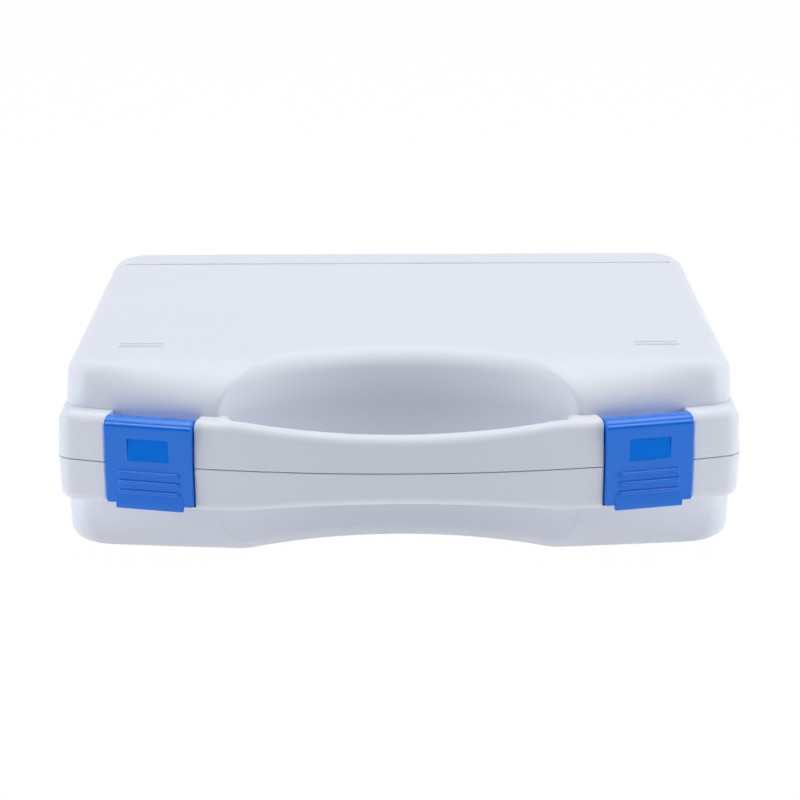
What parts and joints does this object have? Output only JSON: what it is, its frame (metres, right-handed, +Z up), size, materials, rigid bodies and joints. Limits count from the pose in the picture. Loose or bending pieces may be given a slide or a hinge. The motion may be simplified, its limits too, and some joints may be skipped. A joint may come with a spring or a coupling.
{
  "type": "transit_case",
  "caption": "Flat moulded plastic transit case with a bowed front handle, a rear-hinged lid, snap latches and foam inserts",
  "frame": {"origin": "middle of the underside, on the surface that the case lies on", "axes": "+X to the right seen from the front, along the handle; -Y to the front, where the handle and latches are; +Z up"},
  "size_m": [0.336, 0.2985, 0.0963],
  "materials": {
    "moulded_shell": "moulded polypropylene, pale cool grey, fine matt texture with a soft sheen",
    "latch_plastic": "moulded plastic, mid blue, satin",
    "latch_inset": "smooth deeper blue plastic",
    "pin_steel": "drawn steel wire, bright",
    "foam": "open-cell polyurethane foam, dark grey"
  },
  "bodies": {
    "base": {"base_shell": "moulded_shell", "hinge_pin_left": "pin_steel", "hinge_pin_right": "pin_steel", "foam_base_pad": "foam", "foam_base_tray": "foam"},
    "lid": {"lid_shell": "moulded_shell", "latch_pin_left": "pin_steel", "latch_pin_right": "pin_steel", "foam_lid_pad": "foam"},
    "latch_left": {"latch_left": "latch_plastic", "latch_plate_left": "latch_inset"},
    "latch_right": {"latch_right": "latch_plastic", "latch_plate_right": "latch_inset"}
  },
  "joints": [
    {"name": "lid_hinge", "type": "hinge", "parent": "base", "child": "lid", "pos_m": [0, 0.14475, 0.051], "axis": [-1, 0, 0], "range_deg": [0, 105]},
    {"name": "latch_left_hinge", "type": "hinge", "parent": "lid", "child": "latch_left", "pos_m": [-0.12037, -0.12965, 0.069], "axis": [-0.9694, 0.2455, 0], "range_deg": [0, 115]},
    {"name": "latch_right_hinge", "type": "hinge", "parent": "lid", "child": "latch_right", "pos_m": [0.12037, -0.12965, 0.069], "axis": [-0.9694, -0.2455, 0], "range_deg": [0, 115]}
  ]
}
